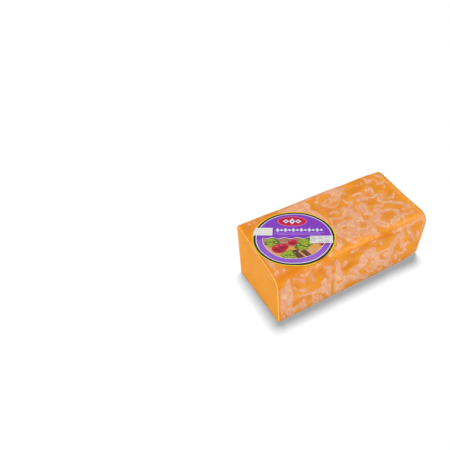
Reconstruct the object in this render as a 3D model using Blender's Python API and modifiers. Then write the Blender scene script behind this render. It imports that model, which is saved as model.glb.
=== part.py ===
"""Cheddar block: the cut half of a long loaf in clear shrink film, with an oval label on its top.

Metres, +Z up. The origin is the middle of the block's footprint, on the surface it stands on.
+X runs from the cut end to the far end, and the front long side faces -Y.
"""

import math

import bmesh
import bpy
from mathutils import Matrix, Vector, noise

# The plain block, before its corners are pulled out of true. Its own corner frame has x from
# the cut end, y from the front long side and z from the base.
LENGTH = 0.2145
WIDTH = 0.097
HEIGHT = 0.079

# How far each corner of the hand-cut block is from the plain block's: (far end, back, top)
CORNER_SHIFTS = {
    (0, 0, 0): (0.0007, 0.0003, 0.0),
    (0, 0, 1): (-0.0009, -0.0001, -0.0005),
    (0, 1, 0): (-0.0008, -0.0030, 0.0),
    (0, 1, 1): (0.0010, 0.0027, 0.0046),
    (1, 0, 0): (0.0012, 0.0025, 0.0),
    (1, 0, 1): (-0.0005, -0.0022, -0.0033),
    (1, 1, 0): (0.0010, -0.0015, 0.0),
    (1, 1, 1): (0.0003, -0.0002, -0.0002),
}

# Rounding of the four long edges, and of the rims round the two ends. Near the far end the
# sharper long edges grow as round as its rim, over FAR_BLEND.
FRONT_TOP_RADIUS = 0.015
BACK_TOP_RADIUS = 0.004
FRONT_BASE_RADIUS = 0.0015
BACK_BASE_RADIUS = 0.004
CUT_RIM_RADIUS = 0.001
FAR_RIM_RADIUS = 0.007
FAR_BLEND = (0.185, 0.207)

# Size of the mesh's cells on the broad faces, and inside the widest rounded edges
BROAD_CELL = 0.0075
EDGE_CELL = 0.003

# Low waves of the film-pressed faces. The cut end and the base are flat.
WAVE_LENGTH = 0.036
WAVE_HEIGHT = 0.0008
CUT_END_CALM = (0.004, 0.022)
BASE_CALM = (0.001, 0.010)
BASE_FACE_SLOPE = -0.5

# Hollows pressed into the block, as centre, half sizes and depth, in the corner frame
HOLLOWS = (
    ((0.150, 0.002, 0.068), (0.045, 0.008, 0.0055), 0.0017),
    ((0.104, 0.000, 0.050), (0.009, 0.008, 0.0060), 0.0018),
    ((0.080, 0.000, 0.026), (0.004, 0.008, 0.0220), 0.0009),
    ((0.128, 0.060, 0.079), (0.040, 0.022, 0.0100), 0.0008),
    ((0.152, 0.088, 0.079), (0.010, 0.007, 0.0100), 0.0010),
    ((0.214, 0.050, 0.045), (0.010, 0.020, 0.0140), 0.0009),
    ((0.120, 0.097, 0.040), (0.050, 0.010, 0.0120), 0.0008),
)

# Oval label, laid over the top so that its front edge bends down a little
LABEL_CENTRE = (0.0504, 0.0469)
LABEL_LENGTH = 0.0992
LABEL_WIDTH = 0.0820
LABEL_TURN = math.radians(-15.3)
LABEL_THICKNESS = 0.0004
LABEL_GAP = 0.0003
LABEL_SIDES = 72
LABEL_CELL = 0.0040
# A straight cut across the label's edge, as its direction from the centre and its reach
LABEL_CUT_TURN = math.radians(-60)
LABEL_CUT_REACH = 0.97

CHEESE_COLOUR = (0.80, 0.33, 0.06, 1.0)
LABEL_COLOUR = (0.29, 0.08, 0.52, 1.0)


def clear_scene():
    for obj in list(bpy.data.objects):
        bpy.data.objects.remove(obj, do_unlink=True)


def make_material(name, colour, roughness, coat=0.0):
    material = bpy.data.materials.new(name)
    material.use_nodes = True
    shader = material.node_tree.nodes["Principled BSDF"]
    shader.inputs["Base Color"].default_value = colour
    shader.inputs["Roughness"].default_value = roughness
    shader.inputs["Metallic"].default_value = 0.0
    shader.inputs["Coat Weight"].default_value = coat
    material.diffuse_color = colour
    return material


def ease(value, low, high):
    """0 below low, 1 above high, and a smooth step between them."""
    part = min(max((value - low) / (high - low), 0.0), 1.0)
    return part * part * (3.0 - 2.0 * part)


def square_to_round(across, up, radius):
    """Moves a point of a square corner onto a round one; both are measured from the arc's centre."""
    reach = max(across, up)
    eighth = math.pi / 4
    if across >= up:
        turn = eighth * up / across
    else:
        turn = math.pi / 2 - eighth * across / up
    return reach * math.cos(turn), reach * math.sin(turn)


def round_section(x, y, z):
    """Rounds the block's cross-section at x. Returns the point, its depth inside the outline
    and the outward direction there."""
    corners = (
        (0.0, HEIGHT, -1, 1, FRONT_TOP_RADIUS),
        (WIDTH, HEIGHT, 1, 1, BACK_TOP_RADIUS),
        (0.0, 0.0, -1, -1, FRONT_BASE_RADIUS),
        (WIDTH, 0.0, 1, -1, BACK_BASE_RADIUS),
    )
    for corner_y, corner_z, side_y, side_z, radius in corners:
        radius += max(FAR_RIM_RADIUS - radius, 0.0) * ease(x, *FAR_BLEND)
        centre_y = corner_y - side_y * radius
        centre_z = corner_z - side_z * radius
        across = side_y * (y - centre_y)
        up = side_z * (z - centre_z)
        if across > 0 and up > 0:
            across, up = square_to_round(across, up, radius)
            reach = math.hypot(across, up)
            outward = Vector((0, side_y * across, side_z * up)) / reach
            return centre_y + side_y * across, centre_z + side_z * up, radius - reach, outward
    faces = (
        (y, Vector((0, -1, 0))),
        (WIDTH - y, Vector((0, 1, 0))),
        (z, Vector((0, 0, -1))),
        (HEIGHT - z, Vector((0, 0, 1))),
    )
    depth, outward = min(faces, key=lambda face: face[0])
    return y, z, depth, outward


def round_block(x, y, z):
    """Moves a point of the plain block's surface onto the rounded block, with its normal."""
    y, z, depth, outward = round_section(x, y, z)
    point = Vector((x, y, z))
    normal = outward
    ends = ((0.0, -1, CUT_RIM_RADIUS), (LENGTH, 1, FAR_RIM_RADIUS))
    for end_x, side, radius in ends:
        centre_x = end_x - side * radius
        along = side * (x - centre_x)
        if along <= 0:
            continue
        if abs(x - end_x) < 1e-6:
            normal = Vector((side, 0, 0))
        rise = radius - depth
        if rise > 0:
            along, rise = square_to_round(along, rise, radius)
            reach = math.hypot(along, rise)
            point.x = centre_x + side * along
            point -= outward * (radius - rise - depth)
            normal = (Vector((side, 0, 0)) * along + outward * rise) / reach
    return point, normal


def skew(point):
    """Carries a point of the plain block along with the block's uneven corners."""
    parts = (point.x / LENGTH, point.y / WIDTH, point.z / HEIGHT)
    moved = point.copy()
    for corner, shift in CORNER_SHIFTS.items():
        weight = 1.0
        for high, part in zip(corner, parts):
            weight *= part if high else 1.0 - part
        moved += Vector(shift) * weight
    return moved


def relief(point, normal):
    """Height of the low waves and hollows above the even surface."""
    if normal.z < BASE_FACE_SLOPE:
        return 0.0
    calm = ease(point.x, *CUT_END_CALM) * ease(point.z, *BASE_CALM)
    height = WAVE_HEIGHT * noise.noise(point / WAVE_LENGTH)
    for centre, half_sizes, depth in HOLLOWS:
        away = [(p - c) / h for p, c, h in zip(point, centre, half_sizes)]
        height -= depth * math.exp(-sum(part * part for part in away))
    return calm * height


def on_block(x, y, z, lift=0.0):
    """The finished block's surface at a point of the plain block, raised by lift."""
    point, normal = round_block(x, y, z)
    return skew(point) + normal * (relief(point, normal) + lift)


def stations(length, low_zone, high_zone):
    """Even cuts along one side of the block, closer together inside its rounded edges."""
    zones = (
        (0.0, low_zone, EDGE_CELL),
        (low_zone, length - high_zone, BROAD_CELL),
        (length - high_zone, length, EDGE_CELL),
    )
    cuts = []
    for start, end, cell in zones:
        count = max(1, round((end - start) / cell))
        cuts += [start + (end - start) * step / count for step in range(count)]
    return cuts[1:]


def cut_into_cells(mesh, axis, cuts):
    """Slices the whole mesh at each cut along one axis."""
    direction = Vector([float(index == axis) for index in range(3)])
    for cut in cuts:
        everything = mesh.verts[:] + mesh.edges[:] + mesh.faces[:]
        bmesh.ops.bisect_plane(mesh, geom=everything, plane_co=direction * cut, plane_no=direction)


def make_object(name, mesh, collection, material):
    data = bpy.data.meshes.new(name)
    mesh.to_mesh(data)
    mesh.free()
    obj = bpy.data.objects.new(name, data)
    collection.objects.link(obj)
    data.materials.append(material)
    return obj


def make_block(collection):
    """The cheese in its tight film: a box cut into cells, then rounded, skewed and pressed."""
    mesh = bmesh.new()
    size = Matrix.Diagonal((LENGTH, WIDTH, HEIGHT, 1.0))
    middle = Matrix.Translation((LENGTH / 2, WIDTH / 2, HEIGHT / 2))
    bmesh.ops.create_cube(mesh, size=1.0, matrix=middle @ size)
    cut_into_cells(mesh, 0, stations(LENGTH, CUT_RIM_RADIUS, FAR_RIM_RADIUS))
    cut_into_cells(mesh, 1, stations(WIDTH, FRONT_TOP_RADIUS, BACK_TOP_RADIUS))
    cut_into_cells(mesh, 2, stations(HEIGHT, BACK_BASE_RADIUS, FRONT_TOP_RADIUS))
    for vertex in mesh.verts:
        vertex.co = on_block(*vertex.co)
    bmesh.ops.triangulate(mesh, faces=mesh.faces[:])
    material = make_material("film_wrapped_cheese", CHEESE_COLOUR, roughness=0.35, coat=0.6)
    obj = make_object("wrapped_cheese", mesh, collection, material)
    obj.data.shade_smooth()
    obj.data.set_sharp_from_angle(angle=math.radians(35))
    return obj


def make_label(collection):
    """The oval label: a flat disc cut into cells, laid over the top, then given its thickness."""
    mesh = bmesh.new()
    bmesh.ops.create_circle(mesh, segments=LABEL_SIDES, radius=1.0, cap_ends=True)
    cut_direction = Vector((math.cos(LABEL_CUT_TURN), math.sin(LABEL_CUT_TURN), 0))
    everything = mesh.verts[:] + mesh.edges[:] + mesh.faces[:]
    bmesh.ops.bisect_plane(
        mesh,
        geom=everything,
        plane_co=cut_direction * LABEL_CUT_REACH,
        plane_no=cut_direction,
        clear_outer=True,
    )
    place = (
        Matrix.Translation((*LABEL_CENTRE, 0))
        @ Matrix.Rotation(LABEL_TURN, 4, "Z")
        @ Matrix.Diagonal((LABEL_LENGTH / 2, LABEL_WIDTH / 2, 1, 1))
    )
    mesh.transform(place)
    cells_x = round(LENGTH / LABEL_CELL)
    cells_y = round(WIDTH / LABEL_CELL)
    cut_into_cells(mesh, 0, [LENGTH * step / cells_x for step in range(1, cells_x)])
    cut_into_cells(mesh, 1, [WIDTH * step / cells_y for step in range(1, cells_y)])
    for vertex in mesh.verts:
        x, y, _ = vertex.co
        if y < FRONT_TOP_RADIUS:
            # It bends round the front edge without stretching
            bend = (FRONT_TOP_RADIUS - y) / FRONT_TOP_RADIUS
            y = FRONT_TOP_RADIUS * (1 - bend * 4 / math.pi)
        vertex.co = on_block(x, y, HEIGHT, lift=LABEL_GAP)
    bmesh.ops.triangulate(mesh, faces=mesh.faces[:])
    material = make_material("printed_paper", LABEL_COLOUR, roughness=0.4, coat=0.3)
    obj = make_object("label", mesh, collection, material)
    wall = obj.modifiers.new("thickness", "SOLIDIFY")
    wall.thickness = LABEL_THICKNESS
    wall.offset = 1.0
    return obj


def centre_footprint(block, others):
    """Puts the origin under the middle of the block, on the surface it stands on."""
    corners = [vertex.co for vertex in block.data.vertices]
    low = Vector([min(corner[axis] for corner in corners) for axis in range(3)])
    high = Vector([max(corner[axis] for corner in corners) for axis in range(3)])
    shift = Vector((-(low.x + high.x) / 2, -(low.y + high.y) / 2, -low.z))
    for obj in [block, *others]:
        obj.data.transform(Matrix.Translation(shift))


def main():
    clear_scene()
    collection = bpy.data.collections.new("cheddar_block")
    bpy.context.scene.collection.children.link(collection)
    block = make_block(collection)
    label = make_label(collection)
    centre_footprint(block, [label])


main()
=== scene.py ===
"""Looks of the cheddar block: the cheese, its clear shrink film and its oval label.

Metres, +Z up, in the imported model's own frame. Lists of places on the block are in millimetres.
"""

import math

import bmesh
import bpy
import numpy as np
from mathutils import Matrix, Vector, geometry, noise


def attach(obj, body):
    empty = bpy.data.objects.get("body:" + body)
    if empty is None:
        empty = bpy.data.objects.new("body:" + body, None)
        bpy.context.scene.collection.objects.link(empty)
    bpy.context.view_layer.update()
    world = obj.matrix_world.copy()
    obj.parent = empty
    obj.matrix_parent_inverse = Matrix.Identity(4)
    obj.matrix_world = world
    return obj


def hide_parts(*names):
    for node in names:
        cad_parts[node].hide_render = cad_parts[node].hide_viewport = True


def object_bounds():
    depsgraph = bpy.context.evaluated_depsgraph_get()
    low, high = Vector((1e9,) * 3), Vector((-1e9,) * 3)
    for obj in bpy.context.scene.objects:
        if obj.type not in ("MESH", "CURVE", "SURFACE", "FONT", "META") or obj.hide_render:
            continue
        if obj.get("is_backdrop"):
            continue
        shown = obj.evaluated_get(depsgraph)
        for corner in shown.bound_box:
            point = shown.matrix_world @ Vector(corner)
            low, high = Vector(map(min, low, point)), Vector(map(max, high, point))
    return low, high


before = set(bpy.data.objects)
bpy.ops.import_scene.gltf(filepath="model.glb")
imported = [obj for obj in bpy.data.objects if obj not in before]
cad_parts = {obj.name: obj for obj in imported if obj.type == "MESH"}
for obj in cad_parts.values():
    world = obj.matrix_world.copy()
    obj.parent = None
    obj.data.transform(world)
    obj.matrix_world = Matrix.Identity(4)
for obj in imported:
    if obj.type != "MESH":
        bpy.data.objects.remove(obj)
cad_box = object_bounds()


# The cheese: a pressed slab of orange cheddar, sawn off a longer loaf, so one end is flat and
# smooth with a sharp rim. The other faces keep the soft edges and low waves of the mould and
# of the film. It is moulded here as an even grid that is rounded, skewed and pressed.

MM = 0.001
BLOCK = (0.2145, 0.097, 0.079)
CELL = 0.00125
# Nearer than this is on a face, and TINY keeps a divisor above nothing
TOUCH = 1e-6
TINY = 1e-12
FILM_INSET = 0.0003
POCKET_SINK = 0.0002
# Where a pocket's wall stands, in millimetres from its outline
POCKET_WALL = (-1.2, 0.6)
CORNER_SHIFTS = {
    (0, 0, 0): (0.7, 0.3, 0.0),
    (0, 0, 1): (-0.9, -0.1, -0.5),
    (0, 1, 0): (-0.8, -3.0, 0.0),
    (0, 1, 1): (1.0, 2.7, 4.6),
    (1, 0, 0): (1.2, 2.5, 0.0),
    (1, 0, 1): (-0.5, -2.2, -3.3),
    (1, 1, 0): (1.0, -1.5, 0.0),
    (1, 1, 1): (0.3, -0.2, -0.2),
}
FRONT_TOP_RADIUS = 0.015
# Long edges: side in y, side in z, radius
LONG_EDGES = ((-1, 1, FRONT_TOP_RADIUS), (1, 1, 0.004), (-1, -1, 0.0015), (1, -1, 0.004))
CUT_RIM_RADIUS = 0.001
FAR_RIM_RADIUS = 0.007
FAR_BLEND = (0.185, 0.207)
WAVE_LENGTH = 0.036
WAVE_HEIGHT = 0.0008
CUT_END_CALM = (0.004, 0.022)
BASE_CALM = (0.001, 0.010)
BASE_FACE_SLOPE = -0.5
# Centre, half sizes and depth, in millimetres
HOLLOWS = (
    ((150, 2, 68), (45, 8, 5.5), 1.7),
    ((104, 0, 50), (9, 8, 6), 1.8),
    ((80, 0, 26), (4, 8, 22), 0.9),
    ((128, 60, 79), (40, 22, 10), 0.8),
    ((152, 88, 79), (10, 7, 10), 1.0),
    ((214, 50, 45), (10, 20, 14), 0.9),
    ((120, 97, 40), (50, 10, 12), 0.8),
)

# The front side, its round edge and the top lie under one sheet of film. A place on that sheet
# is (x, s): s runs up the front, round the edge and back over the top, and past the back edge.
# Pockets are where air keeps the film off the cheese, each a line of (x, s, half width). The
# lines are drawn a little large, about one place on the sheet.
LINES_SCALE = 0.97
LINES_MIDDLE = (37, 84)
FAR_AWAY = 1e3
POCKETS = (
    ((4, 62, 3), (5, 50, 4), (5, 38, 4.5), (5, 25, 4.5), (4, 17, 3)),
    ((15.5, 72, 1), (13, 67, 3), (11, 60, 6), (13.5, 48, 4.5), (15, 38, 5), (14.5, 25, 5)),
    ((14.5, 25, 5), (14, 14, 5), (17, 6, 5), (18, 1, 4.5)),
    ((20, 9, 3), (27, 11, 3.5), (33, 14, 5), (35, 8, 5), (36, 3, 3.5)),
    ((33, 12, 4), (34, 19, 2.5)),
    ((21, 58, 0.9), (22.5, 49, 1.1)),
    ((29, 45, 1.2), (34, 43.5, 2.4), (38, 41, 2.2), (39, 38.5, 1)),
    ((26, 33.5, 1), (31, 32.5, 2), (36, 30, 2), (44, 29.5, 1.6), (52, 28, 2.4), (61, 27, 3)),
    ((46, 27, 1.5), (55, 22.5, 2.4), (62, 20, 2.6), (67, 18, 3.5)),
    ((65, 46, 0.7), (65, 40, 4), (67, 32, 5), (69, 25, 5), (71, 18, 4), (73, 11, 3.5), (76, 3, 3)),
    ((22, 71, 0.8), (27, 68, 1), (31, 64, 1.3), (34, 61, 1.6)),
    ((44.5, 67, 0.6), (45.5, 60, 1.1), (48, 54, 1.2), (50, 50, 0.8)),
    ((32, 70.5, 1.2), (38, 69, 1.9), (42, 70, 1.2), (48, 75, 0.8)),
    ((50, 20, 0.8), (50.5, 13, 2.2), (50, 6, 2.4), (51, 1, 2.4)),
    ((63, 5.5, 1.2),),
    ((65, 67, 1.5), (70, 66, 3), (71, 58, 2.6), (72, 50, 2.2), (73.5, 42, 2.2), (74.5, 34, 1.8)),
    ((82, 34, 2.6), (83, 26, 2), (83.5, 20, 1.6), (84, 12, 2.6), (85.5, 4, 2.6)),
    ((80, 70, 1.2), (82, 64, 3.4), (84, 58, 3.4), (84, 51, 3), (83, 44, 3.4), (84.5, 38, 4)),
    ((80, 40, 4), (86, 44, 3), (89, 38, 3), (88, 33, 4), (94, 29, 3), (100, 26, 4), (108, 22, 4)),
    ((93, 53, 1.6), (94, 57, 2.8), (95, 61, 1.2)),
    ((104, 24, 4), (108, 18, 3.5), (114, 14, 4), (120, 11, 3.5), (127, 9, 3.4), (132, 5, 4.4)),
    ((84, 19, 2), (89, 17, 4), (94, 18, 4), (99, 16, 3.5)),
    ((91, 15, 4), (92, 8, 4), (90, 1, 2.6)),
    ((110, 30, 1.6), (115, 25, 1.5), (119, 18, 1.5), (124, 13, 2)),
    ((105, 36, 2.5), (109, 37, 4), (116, 36, 4), (121, 36, 5), (121, 44, 4.5), (119, 50, 3)),
    ((119, 50, 3), (120, 58, 3.4), (124, 62, 3), (130, 60, 5.4), (134, 56, 5.4), (134, 50, 3)),
    ((121, 44, 4.5), (124, 52, 5.5), (126, 42, 3), (124, 33, 3)),
    ((132, 52, 3), (135, 44, 3), (138, 37, 3), (141, 29, 2.6), (143, 22, 2)),
    ((137, 50, 3), (142, 44, 4), (147, 46, 3), (153, 46.5, 1.8), (159, 46.5, 2), (164, 46, 2.6)),
    ((164, 46, 3), (167, 41, 3), (168, 35, 3), (168.5, 31, 2)),
    ((156, 37.5, 3), (160, 35.5, 5), (165, 36, 4)),
    ((143, 41, 3.4), (144, 34, 3.4), (148, 28, 3.6), (153, 23, 4), (158, 18.5, 4.8)),
    ((158, 18.5, 4.8), (162, 13, 4.6), (166, 9, 4), (170, 5, 3), (173, 2, 2.4)),
    ((129, 25.5, 1), (130, 20, 1.2), (134, 15, 1.2), (140, 11, 1.2), (144, 9, 0.8)),
    ((132, 26, 1.4), (139, 24, 2.4), (146, 21, 5), (143, 15, 4), (147, 12, 3)),
    ((164, 57, 2), (165, 51, 3), (167, 46, 3)),
    ((164, 57, 2), (168, 60, 2.6), (173, 63, 3), (178, 64, 4), (181, 60, 3), (180, 54, 2)),
    ((171, 55, 1.4), (171, 50, 2)),
    ((179, 66, 1.8), (178, 71, 1.6)),
    ((176, 29, 1.2), (178, 26, 1.8), (183, 23, 2), (188, 20, 1.5), (190, 18, 0.8)),
    ((177, 27, 2), (176, 22, 3.4), (180, 21, 2)),
    ((190, 70, 1.4), (188, 67, 2.2), (191, 62, 1.6), (194, 55, 1.3), (197, 51, 1), (199, 46, 0.8)),
    ((205, 54, 2.4), (207, 48, 2), (209, 42, 1.8)),
    ((201, 41, 0.8), (203, 37, 1)),
    ((189, 28, 1.1), (191, 25, 1.6), (192, 22, 0.7)),
    ((191, 42, 1), (194, 39, 1)),
    ((186, 5.5, 2.8),),
    ((180, 1.5, 2.4),),
    ((211, 8, 2), (210, 1, 4)),
    ((155, 6, 3.2),),
    ((211, 64, 1), (211, 61, 1.6)),
    ((146, 68, 1), (147, 63, 0.8)),
    ((118, 1, 1.3),),
    ((171, 72.5, 0.6), (178, 74, 1.3), (187, 74, 1.4), (195, 74, 1.5), (204, 75, 1.8), (209, 74, 1)),
    ((212, 77, 1), (213, 72, 1)),
    ((105, 72, 1.2), (112, 72, 1.4)),
    ((132, 71.5, 0.8), (139, 71.5, 0.9)),
    ((109, 82.5, 2), (113, 82, 1.8)),
    ((126.5, 82.5, 1.2),),
    ((53, 73, 0.7), (61, 74, 0.7)),
    ((3, 84, 2), (7, 87, 1.6)),
    ((15, 84.5, 1.2),),
    ((6, 92, 1.2), (7, 97, 2.8), (6.5, 103, 3), (5, 109, 1.6)),
    ((13, 164, 1.4),),
    ((20, 165, 1.5),),
    ((33, 168, 1),),
    ((74, 79, 1.2), (80, 81, 1)),
    ((88, 83, 2), (93, 86, 3), (97, 91, 3)),
    ((171, 83, 2.4), (174, 87, 3), (180, 88, 4), (188, 89, 3.4), (194, 89, 2.4), (197, 89, 1.4)),
    ((187, 94, 2.4), (188, 99, 3.4), (185, 103, 1.6)),
    ((188, 82, 1.6),),
    ((201, 88, 1.6), (204, 88.5, 1.6)),
    ((152, 102, 3), (158, 100, 5), (156, 92, 4), (161, 88, 4), (163, 85, 2.6)),
    ((159, 102, 4), (164, 101, 2.6)),
    ((150, 126, 4), (156, 126, 5.4), (155, 120, 5), (153, 114, 4), (157, 111, 3.4), (157, 108, 2)),
    ((165, 107.5, 2), (168, 112, 3.6), (173, 115, 3.6), (177, 114, 2)),
    ((169, 106, 2.6), (175, 106, 2.4), (181, 104, 2.4), (184, 104, 1.6)),
    ((180, 118, 1.2), (186, 117, 2), (193, 115, 2.2), (197, 112, 2.8), (201, 108, 2.4), (204, 104, 2)),
    ((181, 124, 3), (185, 126, 4), (189, 126, 1.6)),
    ((179, 146, 3.4), (182, 146, 4.2), (183, 142, 2.6), (181, 138, 2)),
    ((187, 158, 1.4), (190, 159, 2.8), (194, 160, 2), (199, 157, 1), (201, 153, 1)),
    ((199, 148, 2), (205, 149, 1.8), (211, 148, 1.4)),
    ((201, 141, 0.7), (205, 144.5, 0.8)),
    ((205, 165, 1.4), (208, 161, 2.4), (212, 159, 2)),
    ((172, 135, 1), (178, 132, 1.6), (186, 134, 1), (193, 131, 1.4)),
    ((194, 123, 1), (200, 121, 1.6), (206, 124, 1)),
    ((196, 96, 0.8), (202, 97, 1.4), (208, 95, 1)),
    ((157, 136, 2), (161, 137, 3.4), (167, 136, 4), (168, 143, 2.6)),
    ((157, 146.5, 1.2), (163, 148, 1.2), (168, 145, 2)),
    ((142, 156, 1.6), (144, 159, 2.2), (149, 157, 2), (150, 153, 1)),
    ((138, 165, 3.4), (145, 165, 4), (151, 165.5, 2), (156, 163.5, 1)),
    ((172, 159, 1.4),),
    ((59, 166, 3), (66, 163, 5), (72, 160, 5), (80, 162, 6), (87, 160, 6), (92, 158, 5)),
    ((90, 165, 5), (91, 152, 4), (84, 152, 3), (76, 155, 3)),
    ((95, 168, 2), (104, 168.5, 1.2), (114, 169, 1.2), (125, 169, 1.4), (133, 165, 2.6)),
    ((133, 158, 2), (138, 161, 4), (137, 150, 2)),
    ((91, 148, 2), (96, 143, 2.6), (100, 135, 2.6), (102, 129, 2), (100, 122, 2.4)),
    ((100, 114, 3), (106, 109, 5), (112, 113, 4), (118, 112, 4), (124, 113, 4), (131, 110, 4)),
    ((101, 104, 2), (105, 98, 4.4), (110, 95, 5), (116, 92, 5), (121, 89, 4), (125, 94, 5)),
    ((110, 102, 3.4), (118, 98, 4), (126, 104, 3.4), (133, 104, 3)),
    ((125, 94, 4), (132, 93, 4), (138, 89, 4), (140, 84, 3), (145, 80, 2.4)),
    ((131, 120, 2.4), (136, 122, 4), (139, 129, 3), (134, 134, 2), (128, 131, 2)),
    ((131, 110, 4), (137, 110, 4), (141, 113, 3.4), (142, 119, 2), (137, 116, 3)),
    ((140, 108, 2.4), (143, 104, 2), (145, 98, 3.6), (146, 91, 3), (144, 85, 3)),
    ((108, 127, 0.8), (112, 124, 1), (118, 122.5, 1.2), (124, 122, 1.2), (130, 123, 1)),
    ((113, 149, 0.8), (117, 154, 1), (122, 156, 1.2), (128, 155, 1.2), (133, 150, 1)),
    ((133, 150, 1), (131, 145, 0.8), (125, 141, 0.8), (120, 143, 0.7), (116, 147, 0.7)),
    ((112, 133, 0.7), (118, 135, 0.9), (124, 133, 0.7), (122, 128, 0.7)),
    ((141, 145, 1), (143, 140, 1.4), (149, 138, 1.6), (147, 133, 1)),
)
# Where the film touches the cheese again inside a pocket
ISLANDS = (
    ((82, 27, 1), (88, 24, 2.4), (92, 23, 1.8), (94, 25.5, 0.8)),
    ((152, 42, 0.8), (149, 38, 1.8), (150.5, 33, 2), (155, 29.5, 1.4), (162, 27, 2), (168, 24, 2)),
    ((154, 44.5, 0.6), (158, 43, 0.8), (162, 41.5, 0.6)),
    ((172, 57.5, 1), (175, 57, 1.8)),
    ((130, 45, 0.6), (132, 39, 0.9), (135, 32, 1.2), (137, 27, 0.8)),
    ((134, 41, 0.6), (140, 36, 1.2)),
    ((157, 141.5, 0.9), (163, 142, 1.2)),
    ((82, 159, 1.6), (83, 162, 1)),
    ((93, 155, 0.6), (91, 163, 0.6)),
    ((103.5, 117.5, 1.2), (106, 114.5, 1)),
    ((111, 104.5, 1), (120, 107.5, 1.6), (127, 109, 1)),
    ((113, 101, 0.6), (121, 103, 0.8)),
    ((128, 99, 0.8), (134, 99.5, 1.4), (141, 98, 1)),
    ((106, 92, 0.5), (111, 99, 0.6)),
    ((141, 89.5, 1.2),),
    ((127, 88, 0.5), (131, 98, 0.7)),
)
# Where the film is drawn tight over the round edge and the far rim: a painted highlight, a paler
# orange band where it shines
TIGHT_FILM_HIGHLIGHTS = (
    ((80, 77, 0.6), (92, 77.5, 1.4), (104, 77.5, 2.2), (118, 78, 1.8), (130, 78, 2.2), (143, 77, 1.6)),
    ((158, 80, 0.8), (175, 80, 1.4), (190, 80, 1), (205, 79.5, 1.6), (214, 78, 1.6)),
    ((112, 82, 1), (124, 82, 1.2)),
    ((213, 66, 1), (213.5, 74, 2.6), (213, 92, 1.6), (213, 120, 1.2), (213, 145, 2), (209, 158, 2)),
)
# Where the cheese is pressed in and looks a deeper orange: partly the film pressed on the cheese,
# partly painted shade of the dents
PRESSED_SHADE_SPOTS = (
    ((96, 47, 3), (103, 50, 4), (110, 52, 2)),
    ((24, 60, 2), (26, 54, 2)),
    ((58, 68, 1.6), (66, 54, 0.6)),
    ((22, 24, 1), (26, 20, 1)),
    ((6, 78, 1), (12, 80, 2), (24, 81, 2), (36, 81, 1)),
    ((142, 149, 2.4), (147, 150, 2)),
    ((157, 153, 1.4), (166, 154, 2.2), (174, 153, 1.4)),
    ((104, 70, 1.6), (125, 72, 2), (150, 73, 1.6), (165, 71, 1)),
    ((196, 48, 1), (199, 40, 0.8)),
    ((150, 36, 1.2), (158, 28, 1)),
    ((164, 128, 1.4), (172, 122, 0.6)),
    ((116, 137, 2), (110, 130, 2)),
)


def tint(red, green, blue):
    """A colour as seen on a screen, 0 to 255, made linear."""
    parts = [part / 255 for part in (red, green, blue)]
    return tuple(p / 12.92 if p <= 0.04045 else ((p + 0.055) / 1.055) ** 2.4 for p in parts) + (1,)


GOLDEN = tint(231, 147, 28)
AMBER = tint(222, 136, 38)
# Partly the cheese's deeper orange where the film presses, partly painted shade in dents and grooves
DEEP_ORANGE_AND_SHADE = tint(216, 120, 14)
# A painted highlight colour, for the band where the film is drawn tight
HIGHLIGHT_ORANGE = tint(250, 168, 74)
POCKET_PEACH = tint(220, 146, 84)
POCKET_ROSE = tint(216, 136, 88)
CUT_ORANGE = tint(243, 158, 38)
CUT_SHADE = tint(235, 147, 32)
# A painted highlight along the rims of the cut end
RIM_HIGHLIGHT = tint(255, 204, 130)


def ease(value, low, high):
    part = np.clip((value - low) / (high - low), 0, 1)
    return part * part * (3 - 2 * part)


def square_to_round(across, up):
    """Moves points of a square corner onto a round one, measured from the arc's centre."""
    reach = np.maximum(np.maximum(across, up), TINY)
    flat = math.pi / 4 * np.minimum(across, up) / reach
    turn = np.where(across >= up, flat, math.pi / 2 - flat)
    return reach * np.cos(turn), reach * np.sin(turn)


def round_block(x, y, z):
    """Moves points of the plain block onto the rounded one. Returns places and normals."""
    length, width, height = BLOCK
    depths = np.stack([y, width - y, z, height - z])
    ways = np.array([(0, -1, 0), (0, 1, 0), (0, 0, -1), (0, 0, 1)], float)
    depth = depths.min(0)
    outward = ways[depths.argmin(0)]
    for side_y, side_z, radius in LONG_EDGES:
        radius = radius + max(FAR_RIM_RADIUS - radius, 0) * ease(x, *FAR_BLEND)
        middle_y = (width if side_y > 0 else 0) - side_y * radius
        middle_z = (height if side_z > 0 else 0) - side_z * radius
        across = side_y * (y - middle_y)
        up = side_z * (z - middle_z)
        inside = (across > 0) & (up > 0)
        across, up = square_to_round(across, up)
        reach = np.maximum(np.hypot(across, up), TINY)
        bent = np.stack([0 * x, side_y * across / reach, side_z * up / reach], -1)
        outward = np.where(inside[:, None], bent, outward)
        depth = np.where(inside, radius - reach, depth)
        y = np.where(inside, middle_y + side_y * across, y)
        z = np.where(inside, middle_z + side_z * up, z)
    place = np.stack([x, y, z], -1)
    normal = outward.copy()
    for end, side, radius in ((0, -1, CUT_RIM_RADIUS), (length, 1, FAR_RIM_RADIUS)):
        middle = end - side * radius
        along = side * (x - middle)
        rise = radius - depth
        end_way = np.array((side, 0, 0), float)
        normal = np.where((np.abs(x - end) < TOUCH)[:, None], end_way, normal)
        bent = (along > 0) & (rise > 0)
        along, rise = square_to_round(along, rise)
        place[:, 0] = np.where(bent, middle + side * along, place[:, 0])
        inward = np.where(bent, radius - rise - depth, 0)
        place -= outward * inward[:, None]
        rim = (end_way * along[:, None] + outward * rise[:, None]) / radius
        normal = np.where(bent[:, None], rim, normal)
    return place, normal


def skew(place):
    """Carries points of the plain block along with its uneven corners."""
    parts = place / np.array(BLOCK)
    moved = place.copy()
    for corner, shift in CORNER_SHIFTS.items():
        weight = np.ones(len(place))
        for axis, high in enumerate(corner):
            weight *= parts[:, axis] if high else 1 - parts[:, axis]
        moved += weight[:, None] * np.array(shift) * MM
    return moved


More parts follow.
